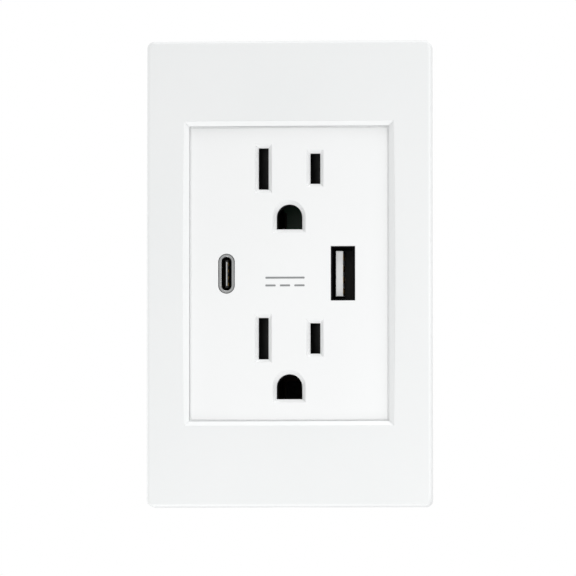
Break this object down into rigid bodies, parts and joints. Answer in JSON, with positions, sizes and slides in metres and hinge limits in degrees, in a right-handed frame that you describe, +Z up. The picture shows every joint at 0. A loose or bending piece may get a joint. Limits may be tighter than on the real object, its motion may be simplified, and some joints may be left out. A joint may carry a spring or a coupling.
{
  "type": "usb wall socket",
  "caption": "White screwless wall plate with a bevelled window around a duplex mains outlet that also holds a USB-A and a USB-C charging port.",
  "frame": {"origin": "midpoint between the two box screws, on the plane of the wall", "axes": "+Z up, +X to the right as seen from the room, +Y into the wall; the face looks along -Y"},
  "size_m": [0.0698, 0.0406, 0.1142],
  "materials": {
    "plate_plastic": "satin white moulding",
    "face_plastic": "satin white moulding",
    "frame_nylon": "matt grey moulding",
    "housing_nylon": "matt black moulding",
    "shutter_nylon": "matt black moulding",
    "screw_steel": "zinc plated",
    "spring_steel": "rolled strip",
    "contact_brass": "rolled strip",
    "screw_brass": "turned",
    "screw_nickel": "nickel plated",
    "screw_green": "green dyed",
    "board_laminate": "green solder mask",
    "usb_steel": "nickel plated",
    "tongue_plastic": "pale grey moulding",
    "port_plastic": "black moulding",
    "contact_gold": "gold plated",
    "ferrite": "pressed and fired",
    "winding_tape": "yellow tape",
    "can_sleeve": "shrunk sleeve",
    "fuse_case": "brown moulding",
    "chip_resin": "black moulding",
    "film_case": "yellow moulding"
  },
  "bodies": {
    "socket": {"faceplate": "plate_plastic", "mounting_frame": "frame_nylon", "front_cover": "face_plastic", "rear_housing": "housing_nylon", "housing_screws": "screw_steel", "upper_shutter_carrier": "shutter_nylon", "lower_shutter_carrier": "shutter_nylon", "upper_shutter_spring": "spring_steel", "lower_shutter_spring": "spring_steel", "neutral_contact_strip": "contact_brass", "hot_contact_strip": "contact_brass", "ground_contact_strip": "contact_brass", "neutral_terminal_screws": "screw_nickel", "hot_terminal_screws": "screw_brass", "ground_terminal_screw": "screw_green", "usb_board": "board_laminate", "usb_a_shell": "usb_steel", "usb_a_body": "port_plastic", "usb_a_tongue": "tongue_plastic", "usb_a_contacts": "contact_gold", "usb_c_shell": "usb_steel", "usb_c_tongue": "port_plastic", "usb_c_mid_plate": "usb_steel", "usb_c_contacts": "contact_gold", "power_board": "board_laminate", "board_link_pins": "contact_gold", "transformer_core": "ferrite", "transformer_winding": "winding_tape", "input_capacitors": "can_sleeve", "output_capacitors": "can_sleeve", "mains_fuse": "fuse_case", "rectifier": "chip_resin", "controller_chip": "chip_resin", "safety_capacitor": "film_case"},
    "upper_shutter": {"upper_shutter": "shutter_nylon"},
    "lower_shutter": {"lower_shutter": "shutter_nylon"}
  },
  "joints": [
    {"name": "upper_shutter_slide", "type": "slide", "parent": "socket", "child": "upper_shutter", "axis": [1, 0, 0], "range_m": [0, 0.00305], "stiffness_N_per_m": 60, "springref_m": -0.003, "deforming": ["upper_shutter_spring"]},
    {"name": "lower_shutter_slide", "type": "slide", "parent": "socket", "child": "lower_shutter", "axis": [1, 0, 0], "range_m": [0, 0.00305], "stiffness_N_per_m": 60, "springref_m": -0.003, "deforming": ["lower_shutter_spring"]}
  ]
}
